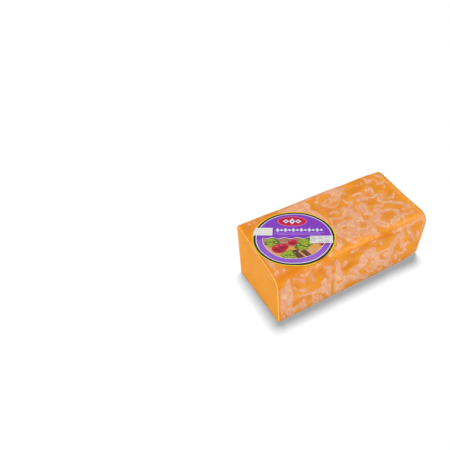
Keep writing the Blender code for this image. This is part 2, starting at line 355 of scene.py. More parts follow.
def ripple(place, size, seed=0.0):
    """Smooth noise of about plus or minus a half at each place, with features of that size."""
    offset = Vector((seed, 0, 0))
    return np.array([noise.noise(Vector(point) / size + offset) for point in place])


def relief(place, normal):
    """Height of the low waves and hollows above the even surface."""
    calm = ease(place[:, 0], *CUT_END_CALM) * ease(place[:, 2], *BASE_CALM)
    height = WAVE_HEIGHT * ripple(place, WAVE_LENGTH)
    for centre, half_sizes, depth in HOLLOWS:
        away = (place - np.array(centre) * MM) / (np.array(half_sizes) * MM)
        height -= depth * MM * np.exp(-(away**2).sum(1))
    return np.where(normal[:, 2] < BASE_FACE_SLOPE, 0, calm * height)


def on_block(x, y, z):
    """Places on the block's surface, and the normals there, for points of the plain block."""
    place, normal = round_block(x, y, z)
    return skew(place) + normal * relief(place, normal)[:, None], normal, place


def on_sheet(grid):
    """Unrolls points of the plain block onto the film's sheet, in millimetres: x and s.

    Also says how far each point is from the part of the sheet that the lists of lines cover.
    """
    length, width, height = (side / MM for side in BLOCK)
    touch = TOUCH / MM
    x, y, z = (grid / MM).T
    radius = FRONT_TOP_RADIUS / MM
    bend = math.pi / 4
    edge_end = height - radius + radius * math.pi / 2
    on_front = np.where(z < height - radius, z, height - radius + bend * (z - height + radius))
    on_top = np.where(y < radius, edge_end - bend * (radius - y), edge_end + y - radius)
    s = np.where(z > height - touch, on_top, on_front)
    s = np.where(y > width - touch, edge_end + width - radius + height - z, s)
    s = np.where((z < touch) & (y < width - touch), -y, s)
    beyond = np.maximum(s - (edge_end + width - radius), -s)
    beyond = np.where((x > length - touch) | (x < touch), FAR_AWAY, np.maximum(beyond, 0))
    spots = (np.stack([x, s], -1) - LINES_MIDDLE) / LINES_SCALE + LINES_MIDDLE
    return spots, beyond


def line_distance(spots, lines):
    """Distance from each spot to the nearest of the lines' outlines, less than 0 inside one."""
    nearest = np.full(len(spots), FAR_AWAY)
    for line in lines:
        for start, end in zip(line, line[1:] or line):
            first = np.array(start[:2], float)
            way = np.array(end[:2], float) - first
            along = np.clip((spots - first) @ way / max(way @ way, TINY), 0, 1)
            away = np.hypot(*(spots - first - along[:, None] * way).T)
            nearest = np.minimum(nearest, away - start[2] - along * (end[2] - start[2]))
    return nearest


def add_attribute(mesh, name, values):
    layer = mesh.attributes.new(name, "FLOAT", "POINT")
    layer.data.foreach_set("value", values.astype(np.float32))


def add_object(name, data):
    thing = bpy.data.objects.new(name, data)
    bpy.context.scene.collection.objects.link(thing)
    return thing


def feed(tree, node, inputs):
    """Gives a node's sockets their values or links."""
    for name, value in inputs.items():
        socket = node.inputs[name]
        if isinstance(value, bpy.types.NodeSocket):
            tree.links.new(value, socket)
        else:
            socket.default_value = value


def wire(tree, kind, inputs=(), settings=()):
    """Adds a node with these inputs and properties, and returns its outputs."""
    node = tree.nodes.new(kind)
    for name, value in dict(settings).items():
        setattr(node, name, value)
    feed(tree, node, dict(inputs))
    return node.outputs


def start_tree(name, inputs):
    """An empty Geometry Nodes group with these inputs, as names and socket types."""
    tree = bpy.data.node_groups.new(name, "GeometryNodeTree")
    tree.interface.new_socket("Geometry", in_out="OUTPUT", socket_type="NodeSocketGeometry")
    for label, kind in {"Geometry": "Geometry", **inputs}.items():
        tree.interface.new_socket(label, in_out="INPUT", socket_type="NodeSocket" + kind)
    return tree, tree.nodes.new("NodeGroupInput").outputs


def end_tree(tree, mesh, material):
    """Every tree ends in real mesh that wears its material."""
    real = wire(tree, "GeometryNodeRealizeInstances", {"Geometry": mesh})[0]
    worn = wire(tree, "GeometryNodeSetMaterial", {"Geometry": real, "Material": material})[0]
    feed(tree, tree.nodes.new("NodeGroupOutput"), {"Geometry": worn})


def grown(name, base, tree, values):
    """Runs a Geometry Nodes group on a mesh and returns the result as a plain mesh object."""
    source = add_object(name + "_source", base)
    modifier = source.modifiers.new("rule", "NODES")
    modifier.node_group = tree
    sockets = {item.name: item.identifier for item in tree.interface.items_tree}
    for label, value in values.items():
        modifier[sockets[label]] = value
    graph = bpy.context.evaluated_depsgraph_get()
    made = bpy.data.meshes.new_from_object(source.evaluated_get(graph))
    made.name = name
    bpy.data.objects.remove(source, do_unlink=True)
    return add_object(name, made)


def block_grid(material):
    """A box of even cells, from a rule, before it is given the block's shape."""
    cells = ("Cells Along", "Cells Across", "Cells Up")
    inputs = {"Size": "Vector", **dict.fromkeys(cells, "Int"), "Material": "Material"}
    tree, given = start_tree("even_box", inputs)
    inputs = {"Vertices " + axis: given[name] for axis, name in zip("XYZ", cells)}
    box = wire(tree, "GeometryNodeMeshCube", {"Size": given["Size"], **inputs})["Mesh"]
    end_tree(tree, box, given["Material"])
    counts = [round(side / CELL) + 1 for side in BLOCK]
    values = {"Size": BLOCK, **dict(zip(cells, counts)), "Material": material}
    return grown("cheese", bpy.data.meshes.new("seed"), tree, values)


def new_finish(name):
    """A material, its node tree and its Principled shader."""
    finish = bpy.data.materials.new(name)
    finish.use_nodes = True
    return finish, finish.node_tree, finish.node_tree.nodes["Principled BSDF"]


def read(tree, name, socket="Fac"):
    """What the mesh carries under that name, for a material."""
    return wire(tree, "ShaderNodeAttribute", settings={"attribute_name": name})[socket]


def calc(tree, operation, first, second=0.0):
    return wire(tree, "ShaderNodeMath", {0: first, 1: second}, {"operation": operation})[0]


def times(tree, first, *others):
    for other in others:
        first = calc(tree, "MULTIPLY", first, other)
    return first


def ramp(tree, value, low, high, run="LINEAR"):
    """0 at low and 1 at high, and even between."""
    inputs = {"Value": value, "From Min": low, "From Max": high}
    return wire(tree, "ShaderNodeMapRange", inputs, {"interpolation_type": run})[0]


def eased(tree, value, low, high):
    """0 at low and 1 at high, with a smooth run between."""
    return ramp(tree, value, low, high, "SMOOTHSTEP")


def band(tree, value, low, top_low, top_high, high):
    """1 between the two tops and 0 outside low and high."""
    return times(tree, eased(tree, value, low, top_low), eased(tree, value, high, top_high))


def between(tree, value, low, high):
    """A value from 0 to 1, made to run from low to high."""
    return wire(tree, "ShaderNodeMapRange", {"Value": value, "To Min": low, "To Max": high})[0]


def swing(tree, value, reach):
    """Noise from 0 to 1, turned into plus or minus half the reach."""
    return times(tree, calc(tree, "SUBTRACT", value, 0.5), reach)


def grain(tree, size, detail=2.0, stretch=(1, 1, 1), turn=(0, 0, 0), bend=0.0):
    """Soft noise on the piece, from 0 to 1, with features of that size in metres.

    Stretch says how many times longer they are along each axis of the turned piece.
    """
    place = wire(tree, "ShaderNodeTexCoord")["Object"]
    inputs = {"Vector": place, "Rotation": turn, "Scale": stretch}
    laid = wire(tree, "ShaderNodeMapping", inputs, {"vector_type": "TEXTURE"})[0]
    inputs = {"Vector": laid, "Scale": 1 / size, "Detail": detail, "Distortion": bend}
    return wire(tree, "ShaderNodeTexNoise", inputs)[0]


def bumped(tree, strength, depth, height):
    """Normals that follow a fine relief, of that depth in metres."""
    inputs = {"Strength": strength, "Distance": depth, "Height": height}
    return wire(tree, "ShaderNodeBump", inputs)[0]


# A Mix node's sockets for colour come after those for numbers and vectors
MIX_BELOW = 6
MIX_ABOVE = 7
MIX_RESULT = 2


def mixed(tree, factor, below, above):
    """One colour laid over another, by a factor from 0 to 1."""
    inputs = {0: factor, MIX_BELOW: below, MIX_ABOVE: above}
    return wire(tree, "ShaderNodeMix", inputs, {"data_type": "RGBA"})[MIX_RESULT]


# The film's streaks run steeply down the front
STREAK_TURN = (0, math.radians(-24), 0)
STREAK_STRETCH = (1, 1, 4)
# A pocket's outline frays finely and drifts broadly. Sizes are in metres, reaches in millimetres
FRAY_SIZE = 0.002
FRAY_REACH = 1.4
DRIFT_SIZE = 0.0045
DRIFT_REACH = 3.4
DRIFT_STRETCH = (1.2, 1, 2.8)
# Sizes of the unevenness of the cheese itself
MOTTLE_SIZE = 0.016
BLUSH_SIZE = 0.007
SHEEN_SIZE = 0.004
CRUMB_SIZE = 0.0016
CRUMB_DEPTH = 0.0002
CUT_MOTTLE_SIZE = 0.012
# The fine ribs that the saw leaves on the cut face, upright
RIB_SIZE = 0.0011
RIB_STRETCH = (1, 1, 12)
RIB_SHADE = 0.3
# The darker line round each pocket: painted shade in the groove there, over the deeper orange where
# the film presses. In millimetres off its outline, and the outline's softness
GROOVE_SHADE_BAND = (0.2, 1.4, 1.8, 3.4)
GROOVE_SHADE_STRENGTH = 0.3
POCKET_SOFTNESS = 1.2


def frayed_gap(tree):
    """Distance to the pockets' outlines in millimetres, with finely uneven edges."""
    fray = swing(tree, grain(tree, FRAY_SIZE, 2.0, STREAK_STRETCH, STREAK_TURN), FRAY_REACH)
    drift = swing(tree, grain(tree, DRIFT_SIZE, 2.0, DRIFT_STRETCH, STREAK_TURN), DRIFT_REACH)
    return calc(tree, "ADD", calc(tree, "ADD", read(tree, "gap"), fray), drift)


def paint_cheese():
    """Mottled orange that pales inside the pockets, with painted shade in dents and round the pockets,
    painted highlights on the round edge and the rims, and an even orange on the ribbed cut.
    """
    finish, tree, shader = new_finish("cheddar")
    gap = frayed_gap(tree)
    sheen = grain(tree, SHEEN_SIZE)
    body = mixed(tree, eased(tree, grain(tree, MOTTLE_SIZE, 3.0), 0.38, 0.62), GOLDEN, AMBER)
    # Painted shade in the dents, over the deeper orange where the film presses
    body = mixed(tree, read(tree, "deep"), body, DEEP_ORANGE_AND_SHADE)
    groove_shade = times(tree, band(tree, gap, *GROOVE_SHADE_BAND), GROOVE_SHADE_STRENGTH)
    body = mixed(tree, groove_shade, body, DEEP_ORANGE_AND_SHADE)
    # A painted highlight band where the film is drawn tight, broken up by the sheen's grain
    shine = times(tree, read(tree, "painted_highlight"), eased(tree, sheen, 0.25, 0.6))
    body = mixed(tree, shine, body, HIGHLIGHT_ORANGE)
    pale = mixed(tree, eased(tree, grain(tree, BLUSH_SIZE), 0.4, 0.6), POCKET_ROSE, POCKET_PEACH)
    colour = mixed(tree, eased(tree, gap, POCKET_SOFTNESS, -POCKET_SOFTNESS), body, pale)
    ribs = grain(tree, RIB_SIZE, 1.0, RIB_STRETCH)
    cut = eased(tree, grain(tree, CUT_MOTTLE_SIZE, 3.0), 0.3, 0.7)
    cut = mixed(tree, cut, CUT_ORANGE, CUT_SHADE)
    cut = mixed(tree, times(tree, ribs, RIB_SHADE), cut, CUT_SHADE)
    colour = mixed(tree, read(tree, "cut"), colour, cut)
    crumb = grain(tree, CRUMB_SIZE, 4.0)
    crumb = calc(tree, "ADD", crumb, times(tree, ribs, read(tree, "cut")))
    inputs = {
        # The rim mark paints a pale highlight along the cut end's rims
        "Base Color": mixed(tree, read(tree, "rim"), colour, RIM_HIGHLIGHT),
        "Roughness": between(tree, sheen, 0.35, 0.6),
        "Normal": bumped(tree, 0.4, CRUMB_DEPTH, crumb),
        "Specular IOR Level": 0.02,
        "Subsurface Weight": 0.2,
        "Subsurface Radius": (1.0, 0.45, 0.15),
        "Subsurface Scale": 0.003,
        "Coat Weight": 0.06,
        "Coat Roughness": 0.2,
    }
    feed(tree, shader, inputs)
    return finish


# The wander of the drawn lines, as sizes and reaches in millimetres, and its two seeds
WANDER = ((9, 1.6), (4, 0.9))
WANDER_SEEDS = (3, 7)
# The fine net of thin pockets: where on the sheet, its mesh size, and its threads' half width
NET_MIDDLE = (122, 122)
NET_HALF = (33, 44)
NET_FADE = (0.75, 1.1)
NET_SIZE = 14
NET_SLOPE = 9
NET_THREAD = 0.8
NET_SEED = 17
HIDDEN_NET_THINNING = 0.5
# Pockets on the faces that the lists don't cover: two ripples, the second one finer and lower
HIDDEN_SIZE = 22
HIDDEN_LEVEL = 0.12
HIDDEN_SLOPE = 20
HIDDEN_TURN = math.radians(-28)
HIDDEN_STRETCH = (1.3, 1.1, 0.6)
HIDDEN_SEEDS = (11, 13)
FINER_BY = 2.6
FINER_SHARE = 0.6
# How far the hidden pockets keep off the lists' part of the sheet, and over what run they fade
CHART_FADE = 9
CHART_RUN = 6
# The film lies flat on the cheese for this far from the cut rim
CUT_CALM = (0.2, 4)
CUT_CALM_RISE = 30
GAP_LIMIT = 6
# How strong the marks are, and the run of their soft edges in millimetres: the dents' painted shade,
# the painted highlight band and the painted highlight on the cut end's rims
DEEP_SHADE_STRENGTH = 0.7
DEEP_SHADE_RUN = (-2, 5)
HIGHLIGHT_STRENGTH = 0.8
HIGHLIGHT_RUN = (-1.2, 2.6)
RIM_HIGHLIGHT_STRENGTH = 0.9
RIM_HIGHLIGHT_WIDTH = 1.3

cheese = block_grid(paint_cheese())
grid = np.empty(len(cheese.data.vertices) * 3)
cheese.data.vertices.foreach_get("co", grid)
grid = grid.reshape(-1, 3) + np.array(BLOCK) / 2
surface, facing, plain = on_block(grid[:, 0], grid[:, 1], grid[:, 2])
middle = (surface.min(0) + surface.max(0)) / 2
to_frame = np.array((-middle[0], -middle[1], -surface[:, 2].min()))
surface += to_frame

# The drawn pockets
spots, beyond = on_sheet(grid)
for size, reach in WANDER:
    wander = [ripple(plain, size * MM, seed) for seed in WANDER_SEEDS]
    spots = spots + reach * np.stack(wander, -1)
gap = np.maximum(line_distance(spots, POCKETS), -line_distance(spots, ISLANDS))

# The hidden pockets and the net
uncharted = CHART_FADE * (1 - ease(beyond, 0, CHART_RUN))
slanted = plain @ np.array(Matrix.Rotation(HIDDEN_TURN, 3, "Y")) * HIDDEN_STRETCH
broad_seed, finer_seed = HIDDEN_SEEDS
hidden = ripple(slanted, HIDDEN_SIZE * MM, broad_seed)
hidden += FINER_SHARE * ripple(slanted, HIDDEN_SIZE * MM / FINER_BY, finer_seed)
hidden = HIDDEN_SLOPE * (HIDDEN_LEVEL - hidden) + uncharted
net = NET_SLOPE * np.abs(ripple(plain, NET_SIZE * MM, NET_SEED)) - NET_THREAD
off_net = ease(np.hypot(*((spots - NET_MIDDLE) / NET_HALF).T), *NET_FADE)
net += np.minimum(CHART_FADE * off_net, uncharted + HIDDEN_NET_THINNING)
gap = np.minimum.reduce([gap, hidden, net])
gap += CUT_CALM_RISE * (1 - ease(grid[:, 0] / MM, *CUT_CALM))
gap = np.clip(gap, -GAP_LIMIT, GAP_LIMIT)

# The marks that the materials read: the pockets' distance, painted shade of dents with their deeper
# orange, a painted highlight band over the round edge and far rim, a painted highlight along the cut
# end's rims, and the cut face
on_cut = grid[:, 0] < TOUCH
deep = DEEP_SHADE_STRENGTH * (1 - ease(line_distance(spots, PRESSED_SHADE_SPOTS), *DEEP_SHADE_RUN))
painted_highlight = HIGHLIGHT_STRENGTH * (1 - ease(line_distance(spots, TIGHT_FILM_HIGHLIGHTS), *HIGHLIGHT_RUN))
# The rim mark: a painted highlight along the cut end's rims, on the cut face and on the faces next to
# it
sides = [grid[:, 1], BLOCK[1] - grid[:, 1], grid[:, 2], BLOCK[2] - grid[:, 2]]
off_rim = np.where(on_cut, np.minimum.reduce(sides), grid[:, 0]) / MM
rim = RIM_HIGHLIGHT_STRENGTH * (1 - ease(off_rim, 0, RIM_HIGHLIGHT_WIDTH))
marks = {"gap": gap, "deep": deep, "painted_highlight": painted_highlight, "cut": on_cut, "rim": rim}
for name, values in marks.items():
    add_attribute(cheese.data, name, values)

skin = cheese.data.copy()
sunk = FILM_INSET + POCKET_SINK * (1 - ease(gap, *POCKET_WALL))
cheese.data.vertices.foreach_set("co", (surface - facing * sunk[:, None]).ravel())
cheese.data.update()
cheese.data.shade_smooth()
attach(cheese, "root")
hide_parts("wrapped_cheese")


# The film: one tight bag of clear shrink film. Where it touches the cheese it can hardly be
# seen, and over the pockets it stands off, hazy, with fine wrinkles. A rule lifts it there
# from the block's surface.

HAZE = tint(240, 194, 174)
HAZE_CREAM = tint(250, 218, 174)
LIFT = 0.00015
WRINKLE_HEIGHT = 0.00015
WRINKLE_SIZE = 0.009
WRINKLE_WIDTH = 0.12
WRINKLE_SEED = 4.0
FINE_WRINKLE_SIZE = 0.0022
FINE_WRINKLE_DEPTH = 0.0003
# How much the haze hides: in a pocket, where it is creamy, also on the painted crease highlights, and
# as a thin mist all round it
POCKET_HAZE = 0.15
CREAM_HAZE = 0.21
MIST_HAZE = 0.12
HAZE_SOFTNESS = 1.4
CLOUD_SIZE = 0.006
# The creamy rim inside a pocket's outline, in millimetres off it, and the size of its patches
CREAM_RIM = (-2.4, -1.0, -0.4, 0.8)
CREAM_RIM_SIZE = 0.01
# The film's fine creases, painted as thin cream highlights: their size and stretch
CREASE_GLINT_SIZE = 0.008
CREASE_GLINT_STRETCH = (1, 1, 2.5)
# How far from its middle value the noise still counts as a crease, painted as a thin cream highlight
CREASE_GLINT_WIDTH = 0.03
MIST_REACH = 7.0
MIST_DRIFT = 9.0
MIST_SIZE = 0.012


def paint_film():
    """Clear film, hazy over the pockets, with creamy rims and streaks, and painted highlights along
    fine creases.
    """
    finish, tree, shader = new_finish("shrink_film")
    gap = frayed_gap(tree)
    inside = eased(tree, gap, HAZE_SOFTNESS, -HAZE_SOFTNESS)
    rim = eased(tree, grain(tree, CREAM_RIM_SIZE), 0.45, 0.62)
    rim = times(tree, band(tree, gap, *CREAM_RIM), rim)
    cloud = grain(tree, CLOUD_SIZE, 2.0, STREAK_STRETCH, STREAK_TURN, 0.4)
    cloud = times(tree, eased(tree, cloud, 0.48, 0.74), inside)
    # Painted highlights along the fine creases, as thin cream lines in the haze
    crease_glint = swing(tree, grain(tree, CREASE_GLINT_SIZE, 1.5, CREASE_GLINT_STRETCH, STREAK_TURN, 0.5), 1.0)
    crease_glint = eased(tree, calc(tree, "ABSOLUTE", crease_glint), CREASE_GLINT_WIDTH, 0.0)
    crease_glint = times(tree, crease_glint, inside)
    cream_and_glint = calc(tree, "MAXIMUM", calc(tree, "MAXIMUM", rim, cloud), crease_glint)
    haze = times(tree, inside, POCKET_HAZE)
    haze = calc(tree, "ADD", haze, times(tree, cream_and_glint, CREAM_HAZE))
    mist = calc(tree, "ADD", gap, swing(tree, grain(tree, MIST_SIZE), MIST_DRIFT))
    mist = times(tree, eased(tree, mist, MIST_REACH, 0.0), MIST_HAZE)
    fine = times(tree, grain(tree, FINE_WRINKLE_SIZE, 3.0), inside)
    inputs = {
        "Base Color": mixed(tree, cream_and_glint, HAZE, HAZE_CREAM),
        "Alpha": calc(tree, "ADD", haze, mist),
        "Roughness": 0.3,
        "Normal": bumped(tree, 0.3, FINE_WRINKLE_DEPTH, fine),
    }
    feed(tree, shader, inputs)
    return finish


def stored(tree, name):
    """What the mesh carries under that name, for a rule."""
    node = "GeometryNodeInputNamedAttribute"
    return wire(tree, node, {"Name": name}, {"data_type": "FLOAT"})[0]


def film_rule():
    """Lifts the skin along its normals over the pockets, and wrinkles it there."""
    numbers = dict.fromkeys(("Lift", "Wrinkle Height", "Wrinkle Size", "Seed"), "Float")
    tree, given = start_tree("cling", {**numbers, "Material": "Material"})
    inside = eased(tree, stored(tree, "gap"), POCKET_WALL[1], POCKET_WALL[0])
    scale = calc(tree, "DIVIDE", 1.0, given["Wrinkle Size"])
    inputs = {"W": given["Seed"], "Scale": scale, "Detail": 2.0, "Distortion": 0.8}
    folds = wire(tree, "ShaderNodeTexNoise", inputs, {"noise_dimensions": "4D"})[0]
    ridge = calc(tree, "ABSOLUTE", calc(tree, "SUBTRACT", folds, 0.5))
    height = times(tree, ramp(tree, ridge, WRINKLE_WIDTH, 0.0), given["Wrinkle Height"])
    height = calc(tree, "ADD", height, given["Lift"])
    height = times(tree, height, inside, stored(tree, "free"))
    inputs = {"Vector": wire(tree, "GeometryNodeInputNormal")[0], "Scale": height}
    offset = wire(tree, "ShaderNodeVectorMath", inputs, {"operation": "SCALE"})[0]
    inputs = {"Geometry": given["Geometry"], "Offset": offset}
    moved = wire(tree, "GeometryNodeSetPosition", inputs)[0]
    smooth = wire(tree, "GeometryNodeSetShadeSmooth", {"Geometry": moved})[0]
    end_tree(tree, smooth, given["Material"])
    return tree


def turned(points, turn):
    """Turns flat points to the left about their origin."""
    return points @ np.array(Matrix.Rotation(-turn, 2))


# The label, in millimetres on the plain top: where it lies and how it is turned. It keeps the
# film down, and so does the base.
LABEL_CENTRE = (50.4, 46.9)
LABEL_HALF = (49.6, 41.0)
LABEL_TURN = math.radians(-15.3)
LABEL_HOLD = (0.98, 1.08)
BASE_HOLD = (0.5, 3)

skin.vertices.foreach_set("co", surface.ravel())
on_label = turned(grid[:, :2] / MM - LABEL_CENTRE, -LABEL_TURN)
under_label = 1 - ease(np.hypot(*(on_label / LABEL_HALF).T), *LABEL_HOLD)
under_label *= grid[:, 2] > BLOCK[2] / 2
add_attribute(skin, "free", (1 - under_label) * ease(grid[:, 2] / MM, *BASE_HOLD))
values = {
    "Lift": LIFT,
    "Wrinkle Height": WRINKLE_HEIGHT,
    "Wrinkle Size": WRINKLE_SIZE,
    "Seed": WRINKLE_SEED,
    "Material": paint_film(),
}
film = grown("film", skin, film_rule(), values)
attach(film, "root")
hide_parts("wrapped_cheese")


# The air bubbles: tiny flat blisters of air that the film has trapped against the cheese. They
# lie thickest round the pockets. A rule scatters one low dome, in many sizes, over the film.

BUBBLE_REACH = (0.0002, 0.0008)
BUBBLE_FLATNESS = 0.3
BUBBLE_SINK = 0.00006
BUBBLES_PER_SQUARE_METRE = 9000
BUBBLE_SEED = 6
# The higher, the fewer of them are large
BUBBLE_FEWER_LARGE = 3.0
# They thin out over this run, in millimetres off a pocket
BUBBLE_RUN = (0.5, 5.0)
BUBBLE_TONE_SIZE = 0.01
BUBBLE_HAZE_SIZE = 0.003
BUBBLE_HAZE = (0.25, 0.6)
# A Random Value node's sockets for numbers come after those for vectors
RANDOM_LEAST = 2
RANDOM_MOST = 3
RANDOM_RESULT = 1


def paint_bubbles():
    """The film's own haze, a little clearer in some bubbles than in others."""
    finish, tree, shader = new_finish("trapped_air")
    tone = eased(tree, grain(tree, BUBBLE_TONE_SIZE), 0.35, 0.65)
    inputs = {
        "Base Color": mixed(tree, tone, HAZE, HAZE_CREAM),
        "Alpha": between(tree, grain(tree, BUBBLE_HAZE_SIZE), *BUBBLE_HAZE),
        "Roughness": 0.2,
    }
    feed(tree, shader, inputs)
    return finish


def bubble_rule():
    """Scatters a low dome over the sheet, most of all near the pockets, each of its own size."""
    numbers = dict.fromkeys(("Density", "Smallest", "Largest", "Flatness"), "Float")
    inputs = {**numbers, "Seed": "Int", "Material": "Material"}
    tree, given = start_tree("trapped_bubbles", inputs)
    near = ramp(tree, stored(tree, "gap"), BUBBLE_RUN[1], BUBBLE_RUN[0])
    density = times(tree, near, stored(tree, "free"), near, given["Density"])
    inputs = {"Mesh": given["Geometry"], "Density": density, "Seed": given["Seed"]}
    spread = wire(tree, "GeometryNodeDistributePointsOnFaces", inputs)
    dome = wire(tree, "GeometryNodeMeshIcoSphere", {"Radius": 1.0, "Subdivisions": 2})[0]
    low = wire(tree, "ShaderNodeCombineXYZ", {"X": 1.0, "Y": 1.0, "Z": given["Flatness"]})[0]
    flat = wire(tree, "GeometryNodeTransform", {"Geometry": dome, "Scale": low})[0]
    inputs = {RANDOM_LEAST: 0.0, RANDOM_MOST: 1.0, "Seed": given["Seed"]}
    part = wire(tree, "FunctionNodeRandomValue", inputs, {"data_type": "FLOAT"})[RANDOM_RESULT]
    part = calc(tree, "POWER", part, BUBBLE_FEWER_LARGE)
    inputs = {
        "Points": spread["Points"],
        "Instance": flat,
        "Rotation": spread["Rotation"],
        "Scale": between(tree, part, given["Smallest"], given["Largest"]),
    }
    laid = wire(tree, "GeometryNodeInstanceOnPoints", inputs)[0]
    smooth = wire(tree, "GeometryNodeSetShadeSmooth", {"Geometry": laid})[0]
    end_tree(tree, smooth, given["Material"])
    return tree


skin.vertices.foreach_set("co", (surface - facing * BUBBLE_SINK).ravel())
values = {
    "Density": BUBBLES_PER_SQUARE_METRE,
    "Smallest": BUBBLE_REACH[0],
    "Largest": BUBBLE_REACH[1],
    "Flatness": BUBBLE_FLATNESS,
    "Seed": BUBBLE_SEED,
    "Material": paint_bubbles(),
}
air_bubbles = grown("air_bubbles", skin, bubble_rule(), values)
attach(air_bubbles, "root")
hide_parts("wrapped_cheese")


# The label: an oval of coated paper stuck on the film, its long axis turned a little to the
# block and its near side bent down over the round edge, where it is cut straight. The print is
# made of flat fields of colour, and its picture and ornaments are plain ones.

LABEL_LIFT = 0.00035
PAPER_THICKNESS = 0.0002
CHORD_TURN = math.radians(-60)
CHORD_REACH = 0.97
PRINT_TURN = math.radians(-14.5)
# The loose points that let the print bend: their step, and how far they keep off the rim
DRAPE_STEP = 0.045
DRAPE_REACH = 0.97
DRAPE_OFF_CHORD = 0.02
# The print is drawn in a unit circle, so its places and sizes are shares of the oval's half sizes
# Points of the print that are nearer each other than this become one
MERGE_REACH = 1e-6
RINGS = (("yellow", 1), ("black", 0.97), ("white", 0.918), ("purple", 0.895))
ARC_REACHES = (0.795, 0.83, 0.865)
ARC_HALF_WIDTH = 0.006
ARC_SPAN = (-3.05, -0.35)
WINDOW_TOP = -0.015
WINDOW_WAVE = 0.026
PRINT_LINES = (0.02, -0.04, -0.1, -0.16)
BADGE = (-0.05, 0.62)
BADGE_OVALS = (("rose", (0.365, 0.195)), ("crimson", (0.345, 0.175)))
ORNAMENT_ROW = 0.29
UNDERLINES = ((0.175, 0.6), (0.125, 0.52))
SPRIGS = ((-0.52, -0.16, 0.9), (-0.12, -0.62, 2.2), (0.28, -0.17, 0.3), (0.2, -0.29, 3.6))
BERRIES = ((-0.34, -0.39, 0.18), (-0.25, -0.33, 0.13), (-0.03, -0.17, 0.12), (0.7, -0.24, 0.08))
# How the inks darken in places and are flecked, and the paper's own unevenness
LABEL_SHADE = tint(84, 52, 84)
LABEL_SHADE_MOST = 0.12
LABEL_SHADE_SIZE = 0.012
FLECK_PALE = tint(235, 230, 235)
FLECK_SIZE = 0.0007
FLECK_STRENGTH = 0.03
GLOSS_SIZE = 0.005
PAPER_GRAIN_SIZE = 0.0012
PAPER_GRAIN_DEPTH = 0.0002
INKS = {
    "yellow": tint(238, 200, 16),
    "black": tint(8, 6, 2),
    "white": tint(216, 212, 230),
    "purple": tint(126, 52, 186),
    "lilac": tint(172, 124, 214),
    "paper": tint(220, 220, 212),
    "crimson": tint(190, 8, 50),
    "deep_red": tint(136, 8, 34),
    "rose": tint(214, 110, 150),
    "blue": tint(80, 112, 165),
    "slate": tint(150, 162, 178),
    "lime": tint(172, 190, 48),
    "green": tint(138, 156, 34),
    "dark_green": tint(84, 108, 32),
    "tan": tint(216, 156, 112),
    "wheat": tint(216, 158, 72),
    "mauve": tint(164, 112, 92),
    "brown": tint(104, 54, 36),
}


def oval(centre, half_sizes, turn=0.0, sides=32, start=0.0, sweep=2 * math.pi):
    """Points of an oval, or of a slice of one."""
    shut = abs(sweep) < 2 * math.pi
    angles = start + sweep * np.arange(sides + shut) / sides
    points = np.stack([half_sizes[0] * np.cos(angles), half_sizes[1] * np.sin(angles)], -1)
    return turned(points, turn) + centre


def bar(centre, half_sizes, turn=0.0):
    corners = np.array(((-1, -1), (1, -1), (1, 1), (-1, 1))) * half_sizes
    return turned(corners, turn) + centre


def lozenge(centre, half_sizes):
    return oval(centre, half_sizes, sides=4)


def leaf(root, length, width, turn):
    """A pointed leaf that grows from its root in the direction of turn."""
    part = np.linspace(0, 1, 9)
    side = width * np.sin(math.pi * part) ** 0.8
    rim = np.concatenate([np.stack([part, side], -1), np.stack([part, -side], -1)[-2:0:-1]])
    rim[:, 0] *= length
    return turned(rim, turn) + root


def arc_strip(reach, half_width, start, end, sides=40):
    angles = np.linspace(start, end, sides + 1)
    way = np.stack([np.cos(angles), np.sin(angles)], -1)
    return np.concatenate([way * (reach + half_width), way[::-1] * (reach - half_width)])


def window_outline(reach, rise):
    """The picture's field: a low wave above, and an arc that runs with the rim below."""
    across = np.linspace(-1, 1, 49)
    top = WINDOW_TOP + rise + WINDOW_WAVE * np.sin(across * 5 * math.pi)
    wave = np.stack([across * (reach - 0.01), top], -1)
    angles = np.linspace(0, -math.pi, 48)[1:-1]
    return np.concatenate([wave, np.stack([np.cos(angles), np.sin(angles)], -1) * reach])


def ground_shapes():
    """Rings, arcs and, last, the picture's field, from the lowest up: (ink, outline)."""
    for ink, reach in RINGS:
        yield ink, oval((0, 0), (reach, reach), sides=128)
    for reach in ARC_REACHES:
        yield "lilac", arc_strip(reach, ARC_HALF_WIDTH, *ARC_SPAN)
    yield "white", window_outline(0.762, 0.014)
    yield "wheat", window_outline(0.748, 0.0)


